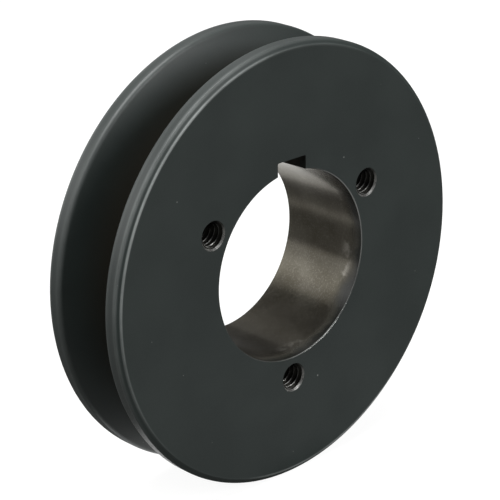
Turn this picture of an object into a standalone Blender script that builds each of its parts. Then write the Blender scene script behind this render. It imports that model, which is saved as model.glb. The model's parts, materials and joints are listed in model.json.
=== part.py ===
"""Single-groove V-belt sheave for a three-screw taper bushing.

The sheave is one machined iron casting. Its axis lies along Y with the front
face towards -Y, the keyway is at +Z, and the origin is at the casting's centre.
"""

from math import cos, pi, radians, sin, tan

import bmesh
import bpy

INCH = 0.0254

# Driving dimensions, in metres.
OUTSIDE_DIAMETER = 3.75 * INCH
FACE_WIDTH = 27 / 32 * INCH
GROOVE_TOP_WIDTH = 35 / 64 * INCH
GROOVE_DEPTH = 0.46 * INCH
GROOVE_ANGLE = radians(34.0)
GROOVE_LIP_RADIUS = 0.0010
RIM_BEVEL_RADIAL = 0.0011
RIM_BEVEL_AXIAL = 0.0009
BORE_FRONT_DIAMETER = 1.625 * INCH
BORE_TAPER = 0.75 / 12
BORE_CHAMFER = 0.0003
KEYWAY_WIDTH = 5 / 16 * INCH
KEYWAY_CEILING = 0.0233
BOLT_CIRCLE_RADIUS = 1.0 * INCH
BOLT_ANGLES = [radians(angle) for angle in (30.0, 150.0, 270.0)]
TAP_DRILL_RADIUS = 0.00255
COUNTERSINK_RADIUS = 0.0034
COUNTERSINK_DEPTH = 0.0008

# How finely the round faces are cut, and how far a cutter runs past a face.
BODY_SEGMENTS = 96
HOLE_SEGMENTS = 24
LIP_STEPS = 3
OVERRUN = 0.002

# The coated iron of the casting.
COAT_COLOUR = (0.034, 0.040, 0.038, 1.0)
COAT_ROUGHNESS = 0.45
COAT_METALLIC = 0.6


def arc(centre, radius, start, end, steps):
    """Points of a circular arc in the (radius, y) plane, both ends included."""
    angles = [start + (end - start) * i / steps for i in range(steps + 1)]
    return [(centre[0] + radius * cos(a), centre[1] + radius * sin(a)) for a in angles]


def groove_half_profile():
    """The belt groove from its lip on the rim down to its floor, on the +Y side.

    The wall leans half the groove angle from the radial plane. The lip is an
    arc that is tangent to the rim and to the wall.
    """
    lean = GROOVE_ANGLE / 2
    rim = OUTSIDE_DIAMETER / 2
    corner_angle = pi / 2 + lean
    tangent_length = GROOVE_LIP_RADIUS / tan(corner_angle / 2)
    centre = (rim - GROOVE_LIP_RADIUS, GROOVE_TOP_WIDTH / 2 + tangent_length)
    lip = arc(centre, GROOVE_LIP_RADIUS, 0.0, -(pi / 2 - lean), LIP_STEPS)
    floor_radius = rim - GROOVE_DEPTH
    floor_half_width = GROOVE_TOP_WIDTH / 2 - GROOVE_DEPTH * tan(lean)
    return lip + [(floor_radius, floor_half_width)]


def rim_half_profile():
    """From the edge of the back face over the rim bevel to the groove floor."""
    rim = OUTSIDE_DIAMETER / 2
    back = FACE_WIDTH / 2
    bevel = [(rim - RIM_BEVEL_RADIAL, back), (rim, back - RIM_BEVEL_AXIAL)]
    return bevel + groove_half_profile()


def sheave_profile():
    """The closed (radius, y) outline that is turned about the Y axis."""
    front = -FACE_WIDTH / 2
    front_bore = BORE_FRONT_DIAMETER / 2
    back_bore = front_bore - FACE_WIDTH * BORE_TAPER / 2
    bore = [
        (front_bore + BORE_CHAMFER, front),
        (front_bore, front + BORE_CHAMFER),
        (back_bore, -front - BORE_CHAMFER),
        (back_bore + BORE_CHAMFER, -front),
    ]
    back_half = rim_half_profile()
    front_half = [(radius, -y) for radius, y in reversed(back_half)]
    return bore + back_half + front_half


def turned_mesh(name, profile, segments, axis_at=(0.0, 0.0), closed=True):
    """A (radius, y) outline spun a full turn about a line parallel to Y.

    An open outline starts and ends on the axis, so its ends become poles.
    """
    shape = bmesh.new()
    ring = [shape.verts.new((radius, y, 0.0)) for radius, y in profile]
    pairs = list(zip(ring, ring[1:]))
    if closed:
        pairs.append((ring[-1], ring[0]))
    edges = [shape.edges.new(pair) for pair in pairs]
    bmesh.ops.spin(
        shape,
        geom=ring + edges,
        cent=(0.0, 0.0, 0.0),
        axis=(0.0, 1.0, 0.0),
        angle=2 * pi,
        steps=segments,
        use_merge=True,
    )
    bmesh.ops.remove_doubles(shape, verts=shape.verts, dist=1e-7)
    bmesh.ops.translate(shape, verts=shape.verts, vec=(axis_at[0], 0.0, axis_at[1]))
    bmesh.ops.recalc_face_normals(shape, faces=shape.faces)
    mesh = bpy.data.meshes.new(name)
    shape.to_mesh(mesh)
    shape.free()
    return mesh


def add_object(name, mesh):
    """Link a mesh into the scene as a named object."""
    item = bpy.data.objects.new(name, mesh)
    bpy.context.scene.collection.objects.link(item)
    return item


def cut(body, cutter):
    """Subtract a cutter from the body and keep the cutter out of the model."""
    cutter.hide_render = True
    cutter.display_type = "WIRE"
    boolean = body.modifiers.new(cutter.name, "BOOLEAN")
    boolean.operation = "DIFFERENCE"
    boolean.solver = "EXACT"
    boolean.object = cutter


def tapped_hole_cutter(name, angle):
    """A through hole at tap-drill size with a small countersink at the front."""
    front = -FACE_WIDTH / 2
    slope = (COUNTERSINK_RADIUS - TAP_DRILL_RADIUS) / COUNTERSINK_DEPTH
    outer_radius = COUNTERSINK_RADIUS + slope * OVERRUN
    outline = [
        (0.0, front - OVERRUN),
        (outer_radius, front - OVERRUN),
        (TAP_DRILL_RADIUS, front + COUNTERSINK_DEPTH),
        (TAP_DRILL_RADIUS, -front + OVERRUN),
        (0.0, -front + OVERRUN),
    ]
    centre = (BOLT_CIRCLE_RADIUS * cos(angle), BOLT_CIRCLE_RADIUS * sin(angle))
    return add_object(name, turned_mesh(name, outline, HOLE_SEGMENTS, centre, closed=False))


def keyway_cutter():
    """A square bar through the bore, as high as the keyway's ceiling."""
    length = FACE_WIDTH + 2 * OVERRUN
    bottom = BORE_FRONT_DIAMETER / 4
    shape = bmesh.new()
    bmesh.ops.create_cube(shape, size=1.0)
    bmesh.ops.scale(shape, vec=(KEYWAY_WIDTH, length, KEYWAY_CEILING - bottom), verts=shape.verts)
    bmesh.ops.translate(shape, vec=(0.0, 0.0, (KEYWAY_CEILING + bottom) / 2), verts=shape.verts)
    mesh = bpy.data.meshes.new("keyway_cutter")
    shape.to_mesh(mesh)
    shape.free()
    return add_object("keyway_cutter", mesh)


def coated_iron():
    """Dark phosphate coat over cast iron."""
    material = bpy.data.materials.new("coated_iron")
    material.use_nodes = True
    shader = material.node_tree.nodes["Principled BSDF"]
    shader.inputs["Base Color"].default_value = COAT_COLOUR
    shader.inputs["Roughness"].default_value = COAT_ROUGHNESS
    shader.inputs["Metallic"].default_value = COAT_METALLIC
    return material


def clear_scene():
    """Remove whatever objects the file opened with."""
    for item in list(bpy.data.objects):
        bpy.data.objects.remove(item, do_unlink=True)


def build_sheave():
    """The whole casting: turned blank, keyway and three tapped holes."""
    sheave = add_object("sheave", turned_mesh("sheave", sheave_profile(), BODY_SEGMENTS))
    sheave.data.materials.append(coated_iron())
    sheave.data.shade_smooth()
    sheave.data.set_sharp_from_angle(angle=radians(12.0))
    cut(sheave, keyway_cutter())
    for number, angle in enumerate(BOLT_ANGLES, start=1):
        cut(sheave, tapped_hole_cutter(f"tapped_hole_cutter_{number}", angle))
    return sheave


clear_scene()
build_sheave()
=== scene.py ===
"""Looks of a single-groove V-belt sheave: one dark coated iron casting.

Its axis lies along Y, the front face looks towards -Y and the keyway is at +Z.
"""

import json

import bmesh
import bpy
import numpy as np
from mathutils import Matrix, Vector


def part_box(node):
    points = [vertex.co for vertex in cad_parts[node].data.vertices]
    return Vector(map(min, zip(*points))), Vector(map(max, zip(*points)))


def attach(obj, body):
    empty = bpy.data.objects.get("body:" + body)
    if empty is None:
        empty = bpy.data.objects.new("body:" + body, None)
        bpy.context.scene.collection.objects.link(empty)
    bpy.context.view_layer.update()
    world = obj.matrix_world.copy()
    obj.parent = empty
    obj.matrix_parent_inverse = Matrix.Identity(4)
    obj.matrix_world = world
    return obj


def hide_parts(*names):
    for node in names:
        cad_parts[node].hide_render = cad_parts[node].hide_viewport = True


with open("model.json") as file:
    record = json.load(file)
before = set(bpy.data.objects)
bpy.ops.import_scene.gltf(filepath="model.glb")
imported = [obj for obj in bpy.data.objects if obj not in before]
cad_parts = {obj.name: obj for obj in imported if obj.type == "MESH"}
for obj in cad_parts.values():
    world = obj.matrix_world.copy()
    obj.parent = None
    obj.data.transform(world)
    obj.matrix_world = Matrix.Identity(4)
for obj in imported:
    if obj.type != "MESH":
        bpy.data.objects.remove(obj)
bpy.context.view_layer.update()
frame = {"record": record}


# ---------------------------------------------------------------- camera
# A long portrait lens looks at the front face from the left and from above.
# The sheave stands a little turned about its own axis, so the camera rolls.

CAMERA_AZIMUTH = np.radians(-43.31)
CAMERA_ELEVATION = np.radians(21.53)
CAMERA_ROLL = np.radians(-0.90)
CAMERA_DISTANCE = 0.4470
CAMERA_AIM_RIGHT = -0.00145
CAMERA_AIM_UP = 0.00053
CAMERA_CLIP_START = 0.01
SENSOR_WIDTH_MM = 36.0
LENS_MM = 153.07


def camera_axes(azimuth, elevation, roll):
    """Right, up and back vectors of a camera that circles the origin.

    Back points from the origin to the camera. Right is level before the roll,
    which then turns right and up about back.
    """
    back = np.array([
        np.sin(azimuth) * np.cos(elevation),
        -np.cos(azimuth) * np.cos(elevation),
        np.sin(elevation),
    ])
    level = np.cross((0.0, 0.0, 1.0), back)
    level /= np.linalg.norm(level)
    upright = np.cross(back, level)
    right = np.cos(roll) * level + np.sin(roll) * upright
    up = np.cos(roll) * upright - np.sin(roll) * level
    return right, up, back


right, up, back = camera_axes(CAMERA_AZIMUTH, CAMERA_ELEVATION, CAMERA_ROLL)
camera_place = CAMERA_DISTANCE * back + CAMERA_AIM_RIGHT * right + CAMERA_AIM_UP * up
camera_matrix = np.identity(4)
camera_matrix[:3, :] = np.stack([right, up, back, camera_place], axis=1)
camera_data = bpy.data.cameras.new("camera")
camera_data.lens = LENS_MM
camera_data.sensor_width = SENSOR_WIDTH_MM
camera_data.clip_start = CAMERA_CLIP_START
camera = bpy.data.objects.new("camera", camera_data)
camera.matrix_world = camera_matrix.T.tolist()
bpy.context.scene.collection.objects.link(camera)
bpy.context.scene.camera = camera


# ---------------------------------------------------------------- turned blank
# One iron casting, turned all over on a lathe: two flat faces with bevelled
# rims, a V groove with rounded lips, and a bore that tapers towards the back.

sheave_high = np.array(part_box("sheave")[1])
RIM_RADIUS = float(sheave_high[0])
HALF_WIDTH = float(sheave_high[1])
BEVEL_RADIAL = 0.0011
BEVEL_AXIAL = 0.0009
EDGE_BREAK = 0.00022
GROOVE_HALF_TOP = 0.0069453
GROOVE_DEPTH = 0.01168
GROOVE_LEAN = np.radians(17.0)
GROOVE_LIP = 0.0010
GROOVE_ROOT = 0.0009
BORE_FRONT_RADIUS = 0.0206375
BORE_SLOPE = 0.03125
BORE_CHAMFER = 0.00018
BORE_EDGE_RADIUS = 0.00005
ROUND_STEPS = 8
ROUND_MARGIN = 0.3
TURNED_SEGMENTS = 384
TURNED_START = 0.31
WELD_DISTANCE = 1e-8


def unit(vector):
    """The vector divided by its length."""
    return vector / np.linalg.norm(vector)


def rounded_outline(corners, radii, steps):
    """A closed outline whose corners are replaced by tangent arcs.

    An arc of radius r in a corner of half angle h starts r / tan(h) before the
    corner and is centred r / sin(h) along the corner's bisector. With start
    and end taken from that centre and t the angle between them, the point at
    share s is (sin((1 - s) t) start + sin(s t) end) / sin(t). Each arc has one
    more point a little way before and after it, which keeps its shading off
    the flat faces that it joins. A radius of 0 keeps the corner sharp.
    """
    points = []
    count = len(corners)
    for index in range(count):
        corner = np.array(corners[index])
        before = unit(np.array(corners[index - 1]) - corner)
        after = unit(np.array(corners[(index + 1) % count]) - corner)
        radius = radii[index]
        if radius == 0.0:
            points.append(corner[None])
            continue
        half = 0.5 * np.arccos(np.clip(before @ after, -1.0, 1.0))
        reach = radius / np.tan(half)
        centre = corner + unit(before + after) * radius / np.sin(half)
        start = corner + before * reach - centre
        end = corner + after * reach - centre
        turn = np.pi - 2.0 * half
        share = np.linspace(0.0, 1.0, steps + 1)[:, None]
        blend = (np.sin((1.0 - share) * turn) * start + np.sin(share * turn) * end) / np.sin(turn)
        margin = ROUND_MARGIN * reach
        points.append((corner + before * (reach + margin))[None])
        points.append(centre + blend)
        points.append((corner + after * (reach + margin))[None])
    return np.concatenate(points)


def turned_surface(outline, segments):
    """Vertices and faces of a closed (radius, y) outline turned about Y.

    Vertex (i, j) is outline point j at angle 2 pi (i + start) / segments, so it
    lies at (radius cos angle, y, radius sin angle). The odd start keeps its
    edges off the planes that the cutters are symmetric about. Both directions
    wrap round. A stretch of the outline along the axis makes no faces.
    """
    angle = (np.arange(segments) + TURNED_START) * 2.0 * np.pi / segments
    radius, depth = outline[:, 0], outline[:, 1]
    vertices = np.stack([
        np.cos(angle)[:, None] * radius,
        np.broadcast_to(depth, (segments, len(depth))),
        np.sin(angle)[:, None] * radius,
    ], axis=-1).reshape(-1, 3)
    row, column = np.meshgrid(np.arange(segments), np.arange(len(outline)), indexing="ij")
    next_row = (row + 1) % segments
    next_column = (column + 1) % len(outline)
    corners = (row, column), (row, next_column), (next_row, next_column), (next_row, column)
    faces = np.stack([r * len(outline) + c for r, c in corners], axis=-1)
    on_axis = (radius == 0.0) & (np.roll(radius, -1) == 0.0)
    return vertices, faces[:, ~on_axis].reshape(-1, 4)


def mesh_object(name, vertices, faces, material=None):
    """A linked object with this closed surface, its poles welded, facing out."""
    mesh = bpy.data.meshes.new(name)
    mesh.from_pydata(vertices.tolist(), [], [list(face) for face in faces])
    if material is not None:
        mesh.materials.append(material)
    shape = bmesh.new()
    shape.from_mesh(mesh)
    bmesh.ops.remove_doubles(shape, verts=shape.verts, dist=WELD_DISTANCE)
    bmesh.ops.recalc_face_normals(shape, faces=shape.faces)
    shape.to_mesh(mesh)
    shape.free()
    item = bpy.data.objects.new(name, mesh)
    bpy.context.scene.collection.objects.link(item)
    return item


groove_floor_radius = RIM_RADIUS - GROOVE_DEPTH
groove_floor_half = GROOVE_HALF_TOP - GROOVE_DEPTH * np.tan(GROOVE_LEAN)
bore_back_radius = BORE_FRONT_RADIUS - 2.0 * HALF_WIDTH * BORE_SLOPE
sheave_corners = [
    (BORE_FRONT_RADIUS + BORE_CHAMFER, -HALF_WIDTH),
    (BORE_FRONT_RADIUS, -HALF_WIDTH + BORE_CHAMFER),
    (bore_back_radius, HALF_WIDTH - BORE_CHAMFER),
    (bore_back_radius + BORE_CHAMFER, HALF_WIDTH),
    (RIM_RADIUS - BEVEL_RADIAL, HALF_WIDTH),
    (RIM_RADIUS, HALF_WIDTH - BEVEL_AXIAL),
    (RIM_RADIUS, GROOVE_HALF_TOP),
    (groove_floor_radius, groove_floor_half),
    (groove_floor_radius, -groove_floor_half),
    (RIM_RADIUS, -GROOVE_HALF_TOP),
    (RIM_RADIUS, -HALF_WIDTH + BEVEL_AXIAL),
    (RIM_RADIUS - BEVEL_RADIAL, -HALF_WIDTH),
]
sheave_radii = [
    BORE_EDGE_RADIUS, BORE_EDGE_RADIUS, BORE_EDGE_RADIUS, BORE_EDGE_RADIUS,
    EDGE_BREAK, EDGE_BREAK, GROOVE_LIP, GROOVE_ROOT,
    GROOVE_ROOT, GROOVE_LIP, EDGE_BREAK, EDGE_BREAK,
]


def node_tree(material):
    """The material's empty node tree with a Principled shader and an output."""
    material.use_nodes = True
    tree = material.node_tree
    tree.nodes.clear()
    output = tree.nodes.new("ShaderNodeOutputMaterial")
    shader = tree.nodes.new("ShaderNodeBsdfPrincipled")
    tree.links.new(shader.outputs["BSDF"], output.inputs["Surface"])
    return tree, shader


def add_node(tree, kind, settings=None, **inputs):
    """A new node with its settings made and its inputs set or linked.

    An input is named with _ for each space, or with n and its number. A value
    that is an output socket is linked.
    """
    node = tree.nodes.new(kind)
    for name, value in (settings or {}).items():
        setattr(node, name, value)
    for name, value in inputs.items():
        key = int(name[1:]) if name[0] == "n" and name[1:].isdigit() else name.replace("_", " ")
        socket = node.inputs[key]
        if isinstance(value, bpy.types.NodeSocket):
            tree.links.new(value, socket)
        else:
            socket.default_value = value
    return node


def maths(tree, operation, first, second=0.0, third=0.0):
    """The output of a Math node."""
    settings = {"operation": operation}
    return add_node(tree, "ShaderNodeMath", settings, n0=first, n1=second, n2=third).outputs[0]


def span(tree, value, low, high, to_low=0.0, to_high=1.0):
    """A value taken smoothly from one range to another, held at its ends."""
    settings = {"interpolation_type": "SMOOTHSTEP"}
    node = add_node(
        tree, "ShaderNodeMapRange", settings,
        Value=value, From_Min=low, From_Max=high, To_Min=to_low, To_Max=to_high,
    )
    return node.outputs["Result"]


def mixed(tree, factor, first, second):
    """Two colours mixed by a factor that changes over the surface.

    The factor goes into input 0, the colours into 6 and 7, and out at 2.
    """
    settings = {"data_type": "RGBA"}
    return add_node(tree, "ShaderNodeMix", settings, n0=factor, n6=first, n7=second).outputs[2]


def new_group(name, inputs, outputs):
    """A shader node group whose inputs and outputs are all plain numbers."""
    group = bpy.data.node_groups.new(name, "ShaderNodeTree")
    for label, value in inputs.items():
        socket = group.interface.new_socket(label, in_out="INPUT", socket_type="NodeSocketFloat")
        socket.default_value = value
    for label in outputs:
        group.interface.new_socket(label, in_out="OUTPUT", socket_type="NodeSocketFloat")
    return group, group.nodes.new("NodeGroupInput"), group.nodes.new("NodeGroupOutput")


def use_group(tree, group, **inputs):
    """The group placed in a tree, with its inputs set or linked."""
    return add_node(tree, "ShaderNodeGroup", {"node_tree": group}, **inputs)


def lathe_place_group():
    """Where a point is on the lathe: its distance from the axis and its Y."""
    group, _, group_out = new_group("lathe_place", {}, ["Radius", "Depth"])
    place = add_node(group, "ShaderNodeTexCoord").outputs["Object"]
    parts = add_node(group, "ShaderNodeSeparateXYZ", Vector=place)
    flat = add_node(group, "ShaderNodeCombineXYZ", X=parts.outputs["X"], Y=parts.outputs["Z"])
    length = add_node(group, "ShaderNodeVectorMath", {"operation": "LENGTH"}, n0=flat.outputs[0])
    group.links.new(length.outputs["Value"], group_out.inputs["Radius"])
    group.links.new(parts.outputs["Y"], group_out.inputs["Depth"])
    return group


NOISE_LOW = 0.3
NOISE_HIGH = 0.7
MARKS_FADES_PER_METRE = 70.0
FAINTEST_MARKS = 0.4


def tool_marks_group():
    """Fine rings left by the turning tool.

    Noise is read at (radius, depth) alone, so it is the same all the way
    round, and a second, coarse noise in space fades it from place to place.
    """
    group, group_in, group_out = new_group("tool_marks", {"Pitches per metre": 4000.0}, ["Height"])
    lathe = use_group(group, lathe_place)
    line = add_node(
        group, "ShaderNodeCombineXYZ",
        X=lathe.outputs["Radius"], Y=lathe.outputs["Depth"],
    ).outputs[0]
    rings = add_node(
        group, "ShaderNodeTexNoise", Vector=line,
        Scale=group_in.outputs[0], Detail=2.0, Roughness=0.6,
    )
    place = add_node(group, "ShaderNodeTexCoord").outputs["Object"]
    fade = add_node(
        group, "ShaderNodeTexNoise", Vector=place, Scale=MARKS_FADES_PER_METRE, Detail=1.0
    )
    depth = span(group, fade.outputs[0], NOISE_LOW, NOISE_HIGH, FAINTEST_MARKS, 1.0)
    height = maths(group, "MULTIPLY", rings.outputs[0], depth)
    group.links.new(height, group_out.inputs[0])
    return group


def mottle_group():
    """Uneven cloudiness of a metal surface, in two sizes, from 0 to 1."""
    group, group_in, group_out = new_group(
        "mottle", {"Clouds per metre": 60.0, "Grains per metre": 1500.0}, ["Cloud", "Grain"]
    )
    place = add_node(group, "ShaderNodeTexCoord").outputs["Object"]
    clouds = add_node(
        group, "ShaderNodeTexNoise", Vector=place,
        Scale=group_in.outputs[0], Detail=4.0, Roughness=0.55,
    )
    grains = add_node(
        group, "ShaderNodeTexNoise", Vector=place,
        Scale=group_in.outputs[1], Detail=3.0, Roughness=0.65,
    )
    for noise, socket in zip((clouds, grains), group_out.inputs):
        group.links.new(span(group, noise.outputs[0], NOISE_LOW, NOISE_HIGH), socket)
    return group


SPECK_CORE = 0.02
SPECK_REACH = 0.05
CELLS_EMPTY = 0.80
CELLS_FULL = 0.86


def dust_specks_group():
    """Sparse pale specks of dust, as a mask from 0 to 1.

    Space is divided into cells, each with a centre and a random number. A
    speck lies round the centres of the cells whose number is high.
    """
    group, group_in, group_out = new_group("dust_specks", {"Cells per metre": 220.0}, ["Mask"])
    place = add_node(group, "ShaderNodeTexCoord").outputs["Object"]
    cells = add_node(
        group, "ShaderNodeTexVoronoi", Vector=place, Scale=group_in.outputs[0], Randomness=1.0
    )
    near = span(group, cells.outputs["Distance"], SPECK_CORE, SPECK_REACH, 1.0, 0.0)
    pick = add_node(group, "ShaderNodeSeparateColor", Color=cells.outputs["Color"])
    chosen = span(group, pick.outputs[0], CELLS_EMPTY, CELLS_FULL)
    group.links.new(maths(group, "MULTIPLY", near, chosen), group_out.inputs[0])
    return group


lathe_place = lathe_place_group()
tool_marks = tool_marks_group()
mottle = mottle_group()
dust_specks = dust_specks_group()

# The coat: a thin dark grey-green phosphate that leaves the turned finish
# showing. It is matt, a shade uneven and browner in the groove, and carries a
# few specks of dust. The land is painted a little lighter all round and, as a
# painted highlight, more so towards the upper left, where the rim's edges carry
# painted highlights too. The edges are also painted lighter along the lower
# right.
COAT_DARK = (0.0130, 0.0181, 0.0169, 1.0)
COAT_LIGHT = (0.0178, 0.0238, 0.0222, 1.0)
LAND_SHEEN_COAT = (0.0440, 0.0500, 0.0484, 1.0)
EDGE_LIGHT_COAT = (0.2000, 0.2150, 0.2100, 1.0)
GROOVE_COAT = (0.0180, 0.0164, 0.0118, 1.0)
DUST_COLOUR = (0.26, 0.27, 0.265, 1.0)
COAT_ROUGH_LOW = 0.42
COAT_ROUGH_HIGH = 0.52
LAND_SHEEN_ROUGH = 0.36
COAT_SHINE = 0.38
COAT_CLOUDS = 55.0
COAT_GRAINS = 2600.0
COAT_GRAIN_HEIGHT = 0.5
COAT_TOOL_PITCHES = 3500.0
COAT_BUMP = 0.12
BUMP_DEPTH = 0.00002
DUST_CELLS = 260.0
MASK_CORE = 0.3
FACE_EDGE_LIGHT_WIDTH = 0.00045
LAND_EDGE_LIGHT_WIDTH = 0.00072
LAND_EDGE_LIGHT = 0.35
LIP_HIGHLIGHT_WIDTH = 0.00117
LIP_HIGHLIGHT = 0.14
LIP_HIGHLIGHT_FROM_MOUTH = 0.0003
LAND_FADE = 0.0006
LEAST_UPPER_LIGHT = 0.05
LEAST_LAND_SHEEN = 0.15
LEAST_EDGE_HIGHLIGHT = 0.15
PATCHIEST = 0.5
LOWER_EDGE_LIGHTER = 0.90
UPPER_LIGHT_BOTTOM, UPPER_LIGHT_TOP = -0.7 * RIM_RADIUS, 0.5 * RIM_RADIUS
UPPER_LIGHT_LEFT, UPPER_LIGHT_RIGHT = 0.1 * RIM_RADIUS, 0.6 * RIM_RADIUS
EDGE_HIGHLIGHT_LEFT, EDGE_HIGHLIGHT_RIGHT = -0.55 * RIM_RADIUS, 0.1 * RIM_RADIUS
LOWER_EDGE_BOTTOM, LOWER_EDGE_TOP = -0.95 * RIM_RADIUS, -0.45 * RIM_RADIUS
LOWER_EDGE_LEFT = -0.35 * RIM_RADIUS
GROOVE_COAT_BOTTOM, GROOVE_COAT_TOP = RIM_RADIUS - GROOVE_DEPTH, RIM_RADIUS - 0.2 * GROOVE_DEPTH


def near_circle(tree, beside, circle, width):
    """A soft mask round a circle about the axis, from 0 to 1.

    The circle is a point in the (radius, depth) plane. The mask is 1 close to
    it and falls to 0 at the given width away.
    """
    settings = {"operation": "DISTANCE"}
    away = add_node(tree, "ShaderNodeVectorMath", settings, n0=beside, n1=(*circle, 0.0))
    return span(tree, away.outputs["Value"], MASK_CORE * width, width, 1.0, 0.0)


def rim_edge_light(tree, radius, depth):
    """How much an edge of the rim is painted lighter at a point, from 0 to 1.

    It is the largest of three soft masks: a strong narrow one at the edge of
    the face, and two weaker and wider ones at the edge of the land and at the
    lip of the groove. They are measured in the (radius, distance from the
    middle plane) plane, so the front and the back flange have the same.
    """
    aside = maths(tree, "ABSOLUTE", depth)
    beside = add_node(tree, "ShaderNodeCombineXYZ", X=radius, Y=aside).outputs[0]
    face_edge = RIM_RADIUS - BEVEL_RADIAL, HALF_WIDTH
    land_edge = RIM_RADIUS, HALF_WIDTH - BEVEL_AXIAL
    lip_edge = RIM_RADIUS, GROOVE_HALF_TOP + LIP_HIGHLIGHT_FROM_MOUTH
    inner = near_circle(tree, beside, face_edge, FACE_EDGE_LIGHT_WIDTH)
    outer = near_circle(tree, beside, land_edge, LAND_EDGE_LIGHT_WIDTH)
    outer = maths(tree, "MULTIPLY", outer, LAND_EDGE_LIGHT)
    lip = near_circle(tree, beside, lip_edge, LIP_HIGHLIGHT_WIDTH)
    lip = maths(tree, "MULTIPLY", lip, LIP_HIGHLIGHT)
    return maths(tree, "MAXIMUM", inner, maths(tree, "MAXIMUM", outer, lip))


def coated_iron_material(name, coat_dark, coat_light, shine):
    """Phosphate coat over cut iron, uneven between a dark and a light shade."""
    material = bpy.data.materials.new(name)
    tree, shader = node_tree(material)
    lathe = use_group(tree, lathe_place)
    radius, depth = lathe.outputs["Radius"], lathe.outputs["Depth"]
    uneven = use_group(tree, mottle, Clouds_per_metre=COAT_CLOUDS, Grains_per_metre=COAT_GRAINS)
    cloud, grain = uneven.outputs["Cloud"], uneven.outputs["Grain"]
    specks = use_group(tree, dust_specks, Cells_per_metre=DUST_CELLS)
    marks = use_group(tree, tool_marks, Pitches_per_metre=COAT_TOOL_PITCHES)
    place = add_node(tree, "ShaderNodeTexCoord").outputs["Object"]
    parts = add_node(tree, "ShaderNodeSeparateXYZ", Vector=place)
    across, upright = parts.outputs["X"], parts.outputs["Z"]

    coat = mixed(tree, cloud, coat_dark, coat_light)
    aside = maths(tree, "ABSOLUTE", depth)
    beside_middle = span(tree, aside, GROOVE_HALF_TOP, HALF_WIDTH, 1.0, 0.0)
    in_groove = span(tree, radius, GROOVE_COAT_BOTTOM, GROOVE_COAT_TOP, 1.0, 0.0)
    in_groove = maths(tree, "MULTIPLY", in_groove, beside_middle)
    coat = mixed(tree, in_groove, coat, GROOVE_COAT)

    # Painted highlight: the land is painted lighter towards the upper left, and a little lighter all
    # round.
    upper_left_light = span(tree, upright, UPPER_LIGHT_BOTTOM, UPPER_LIGHT_TOP, LEAST_UPPER_LIGHT, 1.0)
    to_left = span(tree, across, UPPER_LIGHT_LEFT, UPPER_LIGHT_RIGHT, 1.0, 0.0)
    upper_left_light = maths(tree, "MULTIPLY", upper_left_light, to_left)
    land = span(tree, radius, RIM_RADIUS - LAND_FADE, RIM_RADIUS)
    on_land = maths(tree, "MULTIPLY", land, maths(tree, "MAXIMUM", upper_left_light, LEAST_LAND_SHEEN))
    coat = mixed(tree, on_land, coat, LAND_SHEEN_COAT)

    # Painted highlights on the rim's edges towards the upper left; the edges are also painted lighter
    # towards the lower right.
    edge_highlight = span(tree, across, EDGE_HIGHLIGHT_LEFT, EDGE_HIGHLIGHT_RIGHT, 1.0, LEAST_EDGE_HIGHLIGHT)
    edge_highlight = maths(tree, "MULTIPLY", edge_highlight, upper_left_light)
    lower_right_edges = span(tree, upright, LOWER_EDGE_BOTTOM, LOWER_EDGE_TOP, LOWER_EDGE_LIGHTER, 0.0)
    right_half = span(tree, across, LOWER_EDGE_LEFT, 0.0)
    lower_right_edges = maths(tree, "MULTIPLY", lower_right_edges, right_half)
    edge_lightening = maths(tree, "MAXIMUM", edge_highlight, lower_right_edges)
    patchy = maths(tree, "MULTIPLY", span(tree, cloud, 0.0, 1.0, PATCHIEST, 1.0), edge_lightening)
    on_edge = maths(tree, "MULTIPLY", rim_edge_light(tree, radius, depth), patchy)
    coat = mixed(tree, on_edge, coat, EDGE_LIGHT_COAT)
    colour = mixed(tree, specks.outputs["Mask"], coat, DUST_COLOUR)

    rough = span(tree, grain, 0.0, 1.0, COAT_ROUGH_LOW, COAT_ROUGH_HIGH)
    land_sheen_rough = span(tree, on_land, 0.0, 1.0, COAT_ROUGH_HIGH, LAND_SHEEN_ROUGH)
    rough = maths(tree, "MINIMUM", rough, land_sheen_rough)
    relief = maths(tree, "MULTIPLY_ADD", grain, COAT_GRAIN_HEIGHT, marks.outputs["Height"])
    bump = add_node(
        tree, "ShaderNodeBump", Strength=COAT_BUMP, Distance=BUMP_DEPTH, Height=relief
    )
    tree.links.new(colour, shader.inputs["Base Color"])
    tree.links.new(rough, shader.inputs["Roughness"])
    tree.links.new(bump.outputs["Normal"], shader.inputs["Normal"])
    shader.inputs["Specular IOR Level"].default_value = shine
    return material


coated_iron = coated_iron_material("coated_iron", COAT_DARK, COAT_LIGHT, COAT_SHINE)
outline = rounded_outline(sheave_corners, sheave_radii, ROUND_STEPS)
vertices, faces = turned_surface(outline, TURNED_SEGMENTS)
casting = mesh_object("sheave_casting", vertices, faces, coated_iron)

# The bore is bored to bare metal, which has browned since. A ring at the front
# kept its coat, which ends in a soft uneven edge with a few pale stains past
# it. The front edge carries a painted highlight, a bright line strongest at
# the right.
BARE_DARK = (0.096, 0.088, 0.068, 1.0)
BARE_LIGHT = (0.144, 0.134, 0.109, 1.0)
STAIN_COLOUR = (0.42, 0.40, 0.36, 1.0)
BORE_EDGE_HIGHLIGHT = (0.38, 0.39, 0.38, 1.0)
BARE_METALLIC = 0.97
BARE_ROUGH_LOW = 0.20
BARE_ROUGH_HIGH = 0.25
RING_COAT = (0.0120, 0.0130, 0.0108, 1.0)
RING_DEPTH = 0.0012
RING_UNEVEN = 0.0016
RING_SOFT = 0.0040
RING_METALLIC = 0.1
STAIN_START = 0.00155
STAIN_PEAK = 0.00372
STAIN_END = 0.0062
STAIN_CLOUDS = 210.0
STAIN_GRAINS = 900.0
STAIN_RARE = 0.70
STAIN_STRENGTH = 0.6
FLECK_RARE = 0.5
FLECK_STRENGTH = 0.14
BARE_CLOUDS = 120.0
BARE_GRAINS = 2400.0
BARE_TOOL_PITCHES = 2500.0
BARE_BUMP = 0.04
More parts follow.
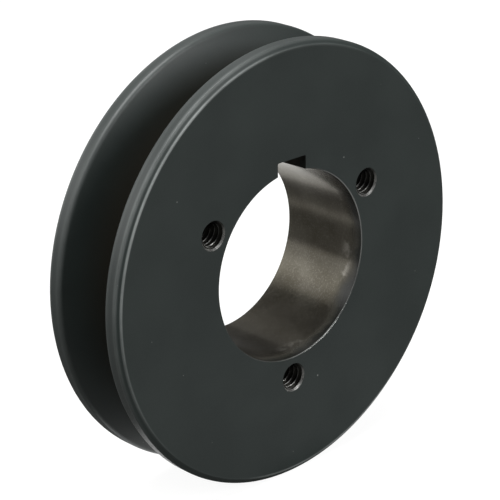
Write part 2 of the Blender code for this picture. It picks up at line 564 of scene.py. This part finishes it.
BORE_EDGE_HIGHLIGHT_WIDTH = 0.00022
BORE_EDGE_HIGHLIGHT_LEAST = 0.1
BORE_HIGHLIGHT_LEFT, BORE_HIGHLIGHT_RIGHT = -0.3 * BORE_FRONT_RADIUS, 0.6 * BORE_FRONT_RADIUS


def bored_iron_material():
    """Browned bored iron, with a coated ring and a painted highlight on the front edge."""
    material = bpy.data.materials.new("bored_iron")
    tree, shader = node_tree(material)
    lathe = use_group(tree, lathe_place)
    radius, depth = lathe.outputs["Radius"], lathe.outputs["Depth"]
    uneven = use_group(tree, mottle, Clouds_per_metre=BARE_CLOUDS, Grains_per_metre=BARE_GRAINS)
    cloud, grain = uneven.outputs["Cloud"], uneven.outputs["Grain"]
    stains = use_group(tree, mottle, Clouds_per_metre=STAIN_CLOUDS, Grains_per_metre=STAIN_GRAINS)
    marks = use_group(tree, tool_marks, Pitches_per_metre=BARE_TOOL_PITCHES)
    metal = mixed(tree, cloud, BARE_DARK, BARE_LIGHT)
    flecks = span(tree, grain, FLECK_RARE, 1.0, 0.0, FLECK_STRENGTH)
    metal = mixed(tree, flecks, metal, STAIN_COLOUR)

    inward = maths(tree, "ADD", depth, HALF_WIDTH)
    past_ring = span(tree, inward, STAIN_START, STAIN_PEAK)
    before_end = span(tree, inward, STAIN_PEAK, STAIN_END, 1.0, 0.0)
    blotches = span(tree, stains.outputs["Cloud"], STAIN_RARE, 1.0, 0.0, STAIN_STRENGTH)
    stained = maths(tree, "MULTIPLY", maths(tree, "MULTIPLY", past_ring, before_end), blotches)
    metal = mixed(tree, stained, metal, STAIN_COLOUR)
    wavering = maths(tree, "MULTIPLY_ADD", cloud, RING_UNEVEN, inward)
    coated = span(tree, wavering, RING_DEPTH, RING_DEPTH + RING_SOFT, 1.0, 0.0)
    colour = mixed(tree, coated, metal, RING_COAT)

    # Painted highlight: a bright metallic line on the front edge, strongest at the right.
    beside = add_node(tree, "ShaderNodeCombineXYZ", X=radius, Y=depth).outputs[0]
    bore_edge = BORE_FRONT_RADIUS + 0.5 * BORE_CHAMFER, -HALF_WIDTH
    edge = near_circle(tree, beside, bore_edge, BORE_EDGE_HIGHLIGHT_WIDTH)
    place = add_node(tree, "ShaderNodeTexCoord").outputs["Object"]
    across = add_node(tree, "ShaderNodeSeparateXYZ", Vector=place).outputs["X"]
    edge_lightening = span(tree, across, BORE_HIGHLIGHT_LEFT, BORE_HIGHLIGHT_RIGHT, BORE_EDGE_HIGHLIGHT_LEAST, 1.0)
    edge = maths(tree, "MULTIPLY", edge, edge_lightening)
    colour = mixed(tree, edge, colour, BORE_EDGE_HIGHLIGHT)

    metallic = span(tree, coated, 0.0, 1.0, BARE_METALLIC, RING_METALLIC)
    rough = span(tree, grain, 0.0, 1.0, BARE_ROUGH_LOW, BARE_ROUGH_HIGH)
    bump = add_node(
        tree, "ShaderNodeBump",
        Strength=BARE_BUMP, Distance=BUMP_DEPTH, Height=marks.outputs["Height"],
    )
    tree.links.new(colour, shader.inputs["Base Color"])
    tree.links.new(maths(tree, "MAXIMUM", metallic, edge), shader.inputs["Metallic"])
    tree.links.new(rough, shader.inputs["Roughness"])
    tree.links.new(bump.outputs["Normal"], shader.inputs["Normal"])
    return material


bored_iron = bored_iron_material()
casting.data.materials.append(bored_iron)
face_centre = vertices[faces].mean(axis=1)
in_bore = np.hypot(face_centre[:, 0], face_centre[:, 2]) < BORE_FRONT_RADIUS + BORE_CHAMFER
casting.data.polygons.foreach_set("material_index", in_bore.astype(np.int32))


# ---------------------------------------------------------------- keyway
# One square slot broached straight through the top of the bore, for the
# bushing's key, before the casting was coated. Its root corners have the
# broach's small radius. The coat in it is duller and painted darker, as
# painted shade in the slot.

keyway_mount = next(m for m in frame["record"]["mounts"] if m["name"] == "keyway_floor")
KEYWAY_CEILING = float(keyway_mount["pos_m"][2])
KEYWAY_HALF_WIDTH = 0.00397
KEYWAY_ROOT_RADIUS = 0.0003
KEYWAY_ROOT_STEPS = 4
KEYWAY_BOTTOM = 0.5 * BORE_FRONT_RADIUS
CUT_OVERRUN = 0.002
# Painted shade: the keyway's coat is painted several times darker than the coat outside it.
KEYWAY_SHADE_DARK = (0.0045, 0.0056, 0.0036, 1.0)
KEYWAY_SHADE_LIGHT = (0.0075, 0.0090, 0.0062, 1.0)
KEYWAY_SHINE = 0.14


def bar_surface(outline, low, high):
    """A closed (x, z) outline carried straight along Y, with a cap at each end."""
    count = len(outline)
    across, upright = outline.T
    ends = [np.stack([across, np.full(count, y), upright], axis=1) for y in (low, high)]
    near = np.arange(count)
    side = np.stack([near, near + count, (near + 1) % count + count, (near + 1) % count], axis=1)
    caps = [near.tolist(), (near[::-1] + count).tolist()]
    return np.concatenate(ends), side.tolist() + caps


def carve(body, cutter):
    """Cut one closed surface out of another for good, and drop the cutter."""
    boolean = body.modifiers.new("cut", "BOOLEAN")
    boolean.operation = "DIFFERENCE"
    boolean.solver = "EXACT"
    boolean.material_mode = "TRANSFER"
    boolean.object = cutter
    evaluated = body.evaluated_get(bpy.context.evaluated_depsgraph_get())
    shape = bpy.data.meshes.new_from_object(evaluated)
    body.modifiers.clear()
    old = body.data
    body.data = shape
    bpy.data.meshes.remove(old)
    bpy.data.objects.remove(cutter)


keyway_corners = [
    (KEYWAY_HALF_WIDTH, KEYWAY_BOTTOM),
    (KEYWAY_HALF_WIDTH, KEYWAY_CEILING),
    (-KEYWAY_HALF_WIDTH, KEYWAY_CEILING),
    (-KEYWAY_HALF_WIDTH, KEYWAY_BOTTOM),
]
keyway_radii = [0.0, KEYWAY_ROOT_RADIUS, KEYWAY_ROOT_RADIUS, 0.0]
keyway_outline = rounded_outline(keyway_corners, keyway_radii, KEYWAY_ROOT_STEPS)
vertices, faces = bar_surface(keyway_outline, -HALF_WIDTH - CUT_OVERRUN, HALF_WIDTH + CUT_OVERRUN)
keyway_shade_iron = coated_iron_material("keyway_shade_iron", KEYWAY_SHADE_DARK, KEYWAY_SHADE_LIGHT, KEYWAY_SHINE)
carve(casting, mesh_object("keyway_cut", vertices, faces, keyway_shade_iron))


# ---------------------------------------------------------------- tapped holes
# Three holes for the cap screws that draw the bushing in, drilled through,
# countersunk by hand and tapped 1/4-20 after coating, so they are bare metal.

BOLT_CIRCLE_RADIUS = 0.0254
BOLT_ANGLES = np.radians([30.0, 150.0, 270.0])
THREAD_PITCH = 0.00127
THREAD_MAJOR = 0.00308
THREAD_MINOR = 0.00250
THREAD_SEGMENTS = 48
# One turn of the thread: how far along the pitch each row of points lies, and
# how far it reaches from the crest's radius (0) to the root's (1).
THREAD_PHASES = np.array([0.0, 0.13, 0.50, 0.54, 0.60, 0.64])
THREAD_RADII = np.array([1.0, 1.0, 0.07, 0.0, 0.0, 0.07])
COUNTERSINK_SEGMENTS = 96
COUNTERSINK_RADIUS = 0.00318
COUNTERSINK_DEPTH = 0.00042
SHARP_EDGE_ANGLE = np.radians(28.0)


def tap_surface(low, high):
    """The outside of a tap: a helix of one thread profile about the Y axis.

    Row k and column i lie at y = low + pitch (phase(k) + i / segments) and at
    angle -2 pi i / segments, which winds a right-hand thread. Phase grows by 1
    every turn, so column 0 of one turn joins the last column of the turn
    before. The radius depends on the row alone. A fan to a point on the axis
    closes each end.
    """
    turns = int(np.ceil((high - low) / THREAD_PITCH))
    per_turn = len(THREAD_PHASES)
    rows = turns * per_turn
    phase = (np.arange(turns)[:, None] + THREAD_PHASES).ravel()
    radius = THREAD_MINOR + (THREAD_MAJOR - THREAD_MINOR) * np.tile(THREAD_RADII, turns)
    share = np.arange(THREAD_SEGMENTS) / THREAD_SEGMENTS
    angle = -2.0 * np.pi * share
    depth = low + THREAD_PITCH * (phase[:, None] + share)
    across, upright = radius[:, None] * np.cos(angle), radius[:, None] * np.sin(angle)
    vertices = np.stack([across, depth, upright], axis=-1)
    index = np.arange(rows * THREAD_SEGMENTS).reshape(rows, THREAD_SEGMENTS)
    here = index[:-1, :-1], index[1:, :-1], index[1:, 1:], index[:-1, 1:]
    faces = np.stack(here, axis=-1).reshape(-1, 4)
    last = index[:rows - per_turn, -1]
    start = index[per_turn:, 0]
    wrap = last[:-1], last[1:], start[1:], start[:-1]
    faces = np.concatenate([faces, np.stack(wrap, axis=-1)])
    start_loop = np.concatenate([index[0], index[per_turn:0:-1, 0]])
    end_loop = np.concatenate([index[-1], index[rows - per_turn - 1:rows - 1, -1][::-1]])
    centre = rows * THREAD_SEGMENTS
    low_centre, high_centre = (0.0, depth.min(), 0.0), (0.0, depth.max(), 0.0)
    start_fan = [[a, b, centre] for a, b in zip(start_loop, np.roll(start_loop, -1))]
    end_fan = [[b, a, centre + 1] for a, b in zip(end_loop, np.roll(end_loop, -1))]
    points = np.concatenate([vertices.reshape(-1, 3), [low_centre, high_centre]])
    return points, faces.tolist() + start_fan + end_fan


# Painted light in the holes: the roots are painted dark as shade; the crests, brightest at the lower
# left, are painted highlights.
THREAD_ROOT_SHADE = (0.016, 0.016, 0.014, 1.0)
THREAD_CREST_HIGHLIGHT = (0.88, 0.88, 0.85, 1.0)
# Painted highlight: the countersink's bare metal is painted bright at its bottom, towards the right.
SINK_HIGHLIGHT_IRON = (0.30, 0.30, 0.29, 1.0)
CREST_END = THREAD_MINOR + 0.00014
CUT_CLOUDS = 400.0
CUT_GRAINS = 4000.0
CUT_ROUGH_LOW = 0.25
CUT_ROUGH_HIGH = 0.40
CUT_PATCHIEST = 0.5
CREST_HIGHLIGHT_LEAN = 1.3
CREST_HIGHLIGHT_LOW, CREST_HIGHLIGHT_HIGH = -0.9 * THREAD_MINOR, 0.2 * THREAD_MINOR
CREST_HIGHLIGHT_LEAST = 0.12
SINK_HIGHLIGHT_LEAN = -0.4
SINK_HIGHLIGHT_LOW, SINK_HIGHLIGHT_HIGH = -0.8 * THREAD_MINOR, 0.5 * THREAD_MINOR
SINK_HIGHLIGHT_LEAST = 0.1
SUNK_FADE = 0.2 * COUNTERSINK_DEPTH


def from_hole_axis(tree, across, upright):
    """The distance of a point from the axis of the nearest tapped hole."""
    flat = add_node(tree, "ShaderNodeCombineXYZ", X=across, Y=upright).outputs[0]
    nearest = None
    for angle in BOLT_ANGLES:
        axis = (BOLT_CIRCLE_RADIUS * np.cos(angle), BOLT_CIRCLE_RADIUS * np.sin(angle), 0.0)
        node = add_node(tree, "ShaderNodeVectorMath", {"operation": "DISTANCE"}, n0=flat, n1=axis)
        away = node.outputs["Value"]
        nearest = away if nearest is None else maths(tree, "MINIMUM", nearest, away)
    return nearest


def inside_hole(tree, across, upright):
    """How far a point is to the right of and above the axis of its own hole.

    The two upper holes lie at the same height and at opposite sides, and the
    third lies straight below the bore.
    """
    hole_side = BOLT_CIRCLE_RADIUS * np.cos(BOLT_ANGLES[0])
    hole_top = BOLT_CIRCLE_RADIUS * np.sin(BOLT_ANGLES[0])
    upper = maths(tree, "GREATER_THAN", upright, 0.0)
    away_up = maths(tree, "ADD", upright, BOLT_CIRCLE_RADIUS)
    away_up = maths(tree, "MULTIPLY_ADD", upper, -hole_top - BOLT_CIRCLE_RADIUS, away_up)
    signed = maths(tree, "MULTIPLY", maths(tree, "SIGN", across), upper)
    away_right = maths(tree, "MULTIPLY_ADD", signed, -hole_side, across)
    return away_right, away_up


def cut_thread_material():
    """Cut iron with painted light: painted shade in the roots, painted
    highlights on the crests and on the countersink.

    The crest highlights are brightest at the lower left of each hole, and
    the countersink's at its bottom, towards the right.
    """
    material = bpy.data.materials.new("cut_thread")
    tree, shader = node_tree(material)
    uneven = use_group(tree, mottle, Clouds_per_metre=CUT_CLOUDS, Grains_per_metre=CUT_GRAINS)
    lathe = use_group(tree, lathe_place)
    place = add_node(tree, "ShaderNodeTexCoord").outputs["Object"]
    parts = add_node(tree, "ShaderNodeSeparateXYZ", Vector=place)
    across, upright = parts.outputs["X"], parts.outputs["Z"]
    crest = span(tree, from_hole_axis(tree, across, upright), THREAD_MINOR, CREST_END, 1.0, 0.0)
    away_right, away_up = inside_hole(tree, across, upright)
    low_left = maths(tree, "MULTIPLY_ADD", away_up, CREST_HIGHLIGHT_LEAN, away_right)
    crest_highlight = span(tree, low_left, CREST_HIGHLIGHT_LOW, CREST_HIGHLIGHT_HIGH, 1.0, CREST_HIGHLIGHT_LEAST)
    low_right = maths(tree, "MULTIPLY_ADD", away_right, SINK_HIGHLIGHT_LEAN, away_up)
    sink_highlight = span(tree, low_right, SINK_HIGHLIGHT_LOW, SINK_HIGHLIGHT_HIGH, 1.0, SINK_HIGHLIGHT_LEAST)
    sunk_end = -HALF_WIDTH + COUNTERSINK_DEPTH
    sunk = span(tree, lathe.outputs["Depth"], sunk_end - SUNK_FADE, sunk_end, 1.0, 0.0)
    patchy = span(tree, uneven.outputs["Cloud"], 0.0, 1.0, CUT_PATCHIEST, 1.0)
    # Painted highlights on the crests, brightest at the lower left; painted shade in the roots.
    bright = maths(tree, "MULTIPLY", maths(tree, "MULTIPLY", crest, patchy), crest_highlight)
    colour = mixed(tree, bright, THREAD_ROOT_SHADE, THREAD_CREST_HIGHLIGHT)
    # Painted highlight on the countersink's bare metal, at its bottom towards the right.
    colour = mixed(tree, maths(tree, "MULTIPLY", sunk, sink_highlight), colour, SINK_HIGHLIGHT_IRON)
    rough = span(tree, uneven.outputs["Grain"], 0.0, 1.0, CUT_ROUGH_LOW, CUT_ROUGH_HIGH)
    tree.links.new(colour, shader.inputs["Base Color"])
    tree.links.new(rough, shader.inputs["Roughness"])
    shader.inputs["Metallic"].default_value = 1.0
    return material


cut_thread = cut_thread_material()
countersink_outline = np.array([
    (0.0, -HALF_WIDTH - CUT_OVERRUN),
    (COUNTERSINK_RADIUS + CUT_OVERRUN, -HALF_WIDTH - CUT_OVERRUN),
    (COUNTERSINK_RADIUS - COUNTERSINK_DEPTH, -HALF_WIDTH + COUNTERSINK_DEPTH),
    (0.0, -HALF_WIDTH + COUNTERSINK_DEPTH),
])
for angle in BOLT_ANGLES:
    centre = BOLT_CIRCLE_RADIUS * np.array([np.cos(angle), 0.0, np.sin(angle)])
    vertices, faces = tap_surface(-HALF_WIDTH - CUT_OVERRUN, HALF_WIDTH + CUT_OVERRUN)
    carve(casting, mesh_object("tap_cut", vertices + centre, faces, cut_thread))
    vertices, faces = turned_surface(countersink_outline, COUNTERSINK_SEGMENTS)
    carve(casting, mesh_object("countersink_cut", vertices + centre, faces, cut_thread))

casting.data.shade_smooth()
casting.data.set_sharp_from_angle(angle=SHARP_EDGE_ANGLE)
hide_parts("sheave")
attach(casting, "root")


# ---------------------------------------------------------------- floor
# A plain table that the sheave stands on, on its rim. Reflections show it grey,
# and the camera sees it lit from below, with a faint contact shadow.

FLOOR_HALF = 3.0
FLOOR_COLOUR = (0.14, 0.14, 0.137, 1.0)
FLOOR_GLOW = 0.92
FLOOR_ROUGHNESS = 0.8
FLOOR_SHINE = 0.1
WHITE = (1.0, 1.0, 1.0, 1.0)


def floor_surface(half, height):
    """A level square sheet with its corners at plus and minus half."""
    corners = np.array([(-half, -half), (half, -half), (half, half), (-half, half)])
    return np.column_stack([corners, np.full(4, height)]), [[0, 1, 2, 3]]


floor_material = bpy.data.materials.new("white_table")
tree, shader = node_tree(floor_material)
seen = add_node(tree, "ShaderNodeLightPath").outputs["Is Camera Ray"]
glow = maths(tree, "MULTIPLY", seen, FLOOR_GLOW)
tree.links.new(glow, shader.inputs["Emission Strength"])
shader.inputs["Emission Color"].default_value = WHITE
shader.inputs["Base Color"].default_value = FLOOR_COLOUR
shader.inputs["Roughness"].default_value = FLOOR_ROUGHNESS
shader.inputs["Specular IOR Level"].default_value = FLOOR_SHINE
vertices, faces = floor_surface(FLOOR_HALF, -RIM_RADIUS)
floor = mesh_object("floor", vertices, faces, floor_material)


# ---------------------------------------------------------------- light
# A white room for the camera. The sheave itself is lit by soft boxes at the
# front right, at the left and overhead, three dim ones behind it, a weak fill,
# and glowing pads in the table that show in the bore and under the rim.

WORLD_FILL = 0.14
PAD_ABOVE_FLOOR = 0.0005


def soft_box(name, azimuth, elevation, distance, size, radiance):
    """A square lamp that faces the sheave, with this brightness all over."""
    azimuth, elevation = np.radians(azimuth), np.radians(elevation)
    side, upright, towards = camera_axes(azimuth, elevation, 0.0)
    data = bpy.data.lights.new(name, "AREA")
    data.shape = "SQUARE"
    data.size = size
    data.energy = radiance * np.pi * size**2
    lamp = bpy.data.objects.new(name, data)
    matrix = np.identity(4)
    matrix[:3, :] = np.stack([side, upright, towards, distance * towards], axis=1)
    lamp.matrix_world = matrix.T.tolist()
    lamp.visible_camera = False
    bpy.context.scene.collection.objects.link(lamp)


world = bpy.data.worlds.new("white_room")
bpy.context.scene.world = world
world.use_nodes = True
tree = world.node_tree
tree.nodes.clear()
seen = add_node(tree, "ShaderNodeLightPath").outputs["Is Camera Ray"]
fill = add_node(tree, "ShaderNodeBackground", Color=WHITE, Strength=WORLD_FILL)
backdrop = add_node(tree, "ShaderNodeBackground", Color=WHITE, Strength=1.0)
either = add_node(tree, "ShaderNodeMixShader", n0=seen, n1=fill.outputs[0], n2=backdrop.outputs[0])
add_node(tree, "ShaderNodeOutputWorld", Surface=either.outputs[0])

soft_box("front_box", azimuth=18.0, elevation=25.0, distance=1.2, size=0.60, radiance=10.0)
soft_box("left_box", azimuth=-90.0, elevation=40.0, distance=1.2, size=0.80, radiance=2.2)
soft_box("rear_left_wide_box", azimuth=-139.0, elevation=21.0, distance=1.3, size=0.95, radiance=0.85)
soft_box("rear_left_box", azimuth=-140.0, elevation=23.0, distance=1.2, size=0.42, radiance=0.75)
soft_box("rear_box", azimuth=155.0, elevation=36.0, distance=1.2, size=0.60, radiance=0.22)
soft_box("top_box", azimuth=-90.0, elevation=80.0, distance=1.2, size=1.0, radiance=6.4)


def glowing_pad(name, low, high, radiance):
    """A rectangular lamp let into the table, facing up, between two corners."""
    low, high = np.array(low), np.array(high)
    data = bpy.data.lights.new(name, "AREA")
    data.shape = "RECTANGLE"
    data.size, data.size_y = (float(v) for v in high - low)
    data.energy = radiance * np.pi * data.size * data.size_y
    lamp = bpy.data.objects.new(name, data)
    matrix = np.diag([1.0, -1.0, -1.0, 1.0])
    matrix[:3, 3] = (*(low + high) / 2.0, -RIM_RADIUS + PAD_ABOVE_FLOOR)
    lamp.matrix_world = matrix.T.tolist()
    lamp.visible_camera = False
    bpy.context.scene.collection.objects.link(lamp)


glowing_pad("pad_right", low=(0.013, 0.035), high=(0.080, 0.110), radiance=1.0)
glowing_pad("pad_left", low=(-0.034, 0.035), high=(-0.020, 0.100), radiance=0.45)
glowing_pad("pad_front", low=(-0.020, -0.070), high=(0.070, -0.014), radiance=0.15)
glowing_pad("pad_under", low=(-0.042, -0.002), high=(-0.015, 0.013), radiance=1.6)

bpy.context.scene.view_settings.view_transform = "Standard"
